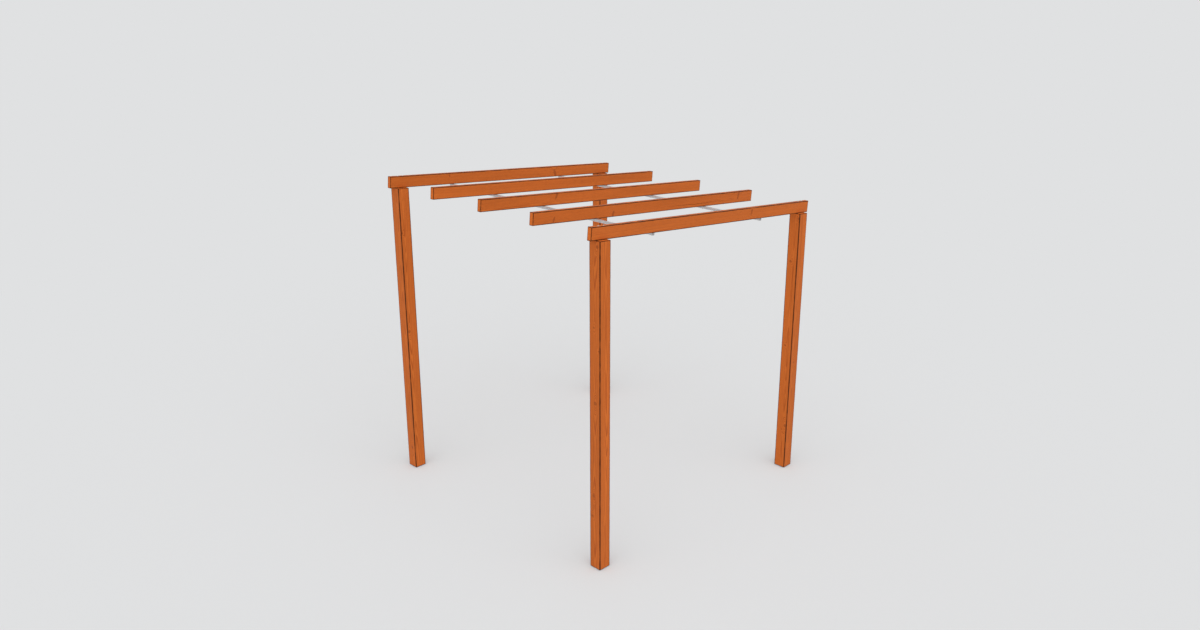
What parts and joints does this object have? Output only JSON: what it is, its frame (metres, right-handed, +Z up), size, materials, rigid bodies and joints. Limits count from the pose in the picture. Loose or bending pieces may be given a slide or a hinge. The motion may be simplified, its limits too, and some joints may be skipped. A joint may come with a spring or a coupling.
{
  "type": "wooden pergola",
  "caption": "Open timber pergola with a single pitch: square posts carry rafters on edge, and slim steel cross bars under the rafters hold the middle ones.",
  "frame": {"origin": "on the ground, at the centre of the square that the posts stand on", "axes": "+X down the pitch from the high posts to the low posts, +Y to the back, +Z up"},
  "size_m": [2.3982, 2.298, 2.4986],
  "materials": {
    "post_timber": "orange-brown stained softwood",
    "rafter_timber": "orange-brown stained softwood",
    "galvanised_steel": "galvanised",
    "cap_plastic": "grey moulded plastic"
  },
  "bodies": {
    "root": {"front_left_post": "post_timber", "back_left_post": "post_timber", "front_right_post": "post_timber", "back_right_post": "post_timber", "rafter_1": "rafter_timber", "rafter_2": "rafter_timber", "rafter_3": "rafter_timber", "rafter_4": "rafter_timber", "rafter_5": "rafter_timber", "left_cross_bar": "galvanised_steel", "right_cross_bar": "galvanised_steel", "front_left_bracket": "galvanised_steel", "back_left_bracket": "galvanised_steel", "front_right_bracket": "galvanised_steel", "back_right_bracket": "galvanised_steel", "front_left_foot": "galvanised_steel", "back_left_foot": "galvanised_steel", "front_right_foot": "galvanised_steel", "back_right_foot": "galvanised_steel", "left_cross_bar_front_cap": "cap_plastic", "left_cross_bar_back_cap": "cap_plastic", "right_cross_bar_front_cap": "cap_plastic", "right_cross_bar_back_cap": "cap_plastic"}
  },
  "joints": []
}
